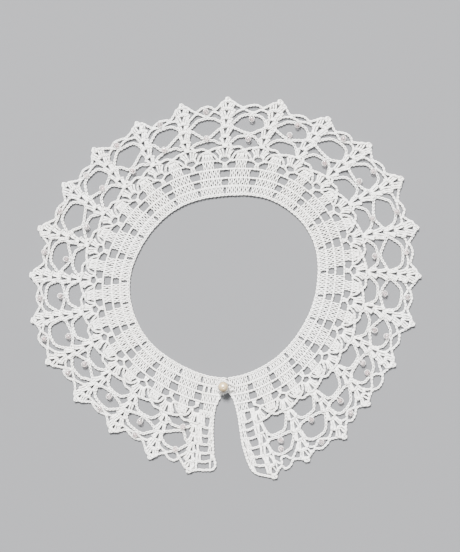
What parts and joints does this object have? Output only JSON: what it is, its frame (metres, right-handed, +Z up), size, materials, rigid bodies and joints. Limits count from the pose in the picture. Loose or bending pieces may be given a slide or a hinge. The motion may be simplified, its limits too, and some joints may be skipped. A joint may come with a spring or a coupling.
{
  "type": "crochet lace collar",
  "caption": "Round crochet lace collar laid flat: firm neck band, open loops between shell spokes, picot edge, and a pearl button closing the front.",
  "frame": {"origin": "centre of the collar's outline, on the surface that it lies on", "axes": "+Z up from the surface, +Y from the front opening to the centre back, +X to the wearer's left when worn face up"},
  "size_m": [0.2806, 0.2735, 0.0104],
  "materials": {
    "cotton_lace": "ivory-white mercerised crochet cotton, slight sheen",
    "pearl": "cream pearl lustre, smooth",
    "glass_bead": "clear glass with a faint pink tint"
  },
  "bodies": {
    "root": {"lace_collar": "cotton_lace", "button_loop": "cotton_lace", "pearl_button": "pearl"}
  },
  "joints": []
}
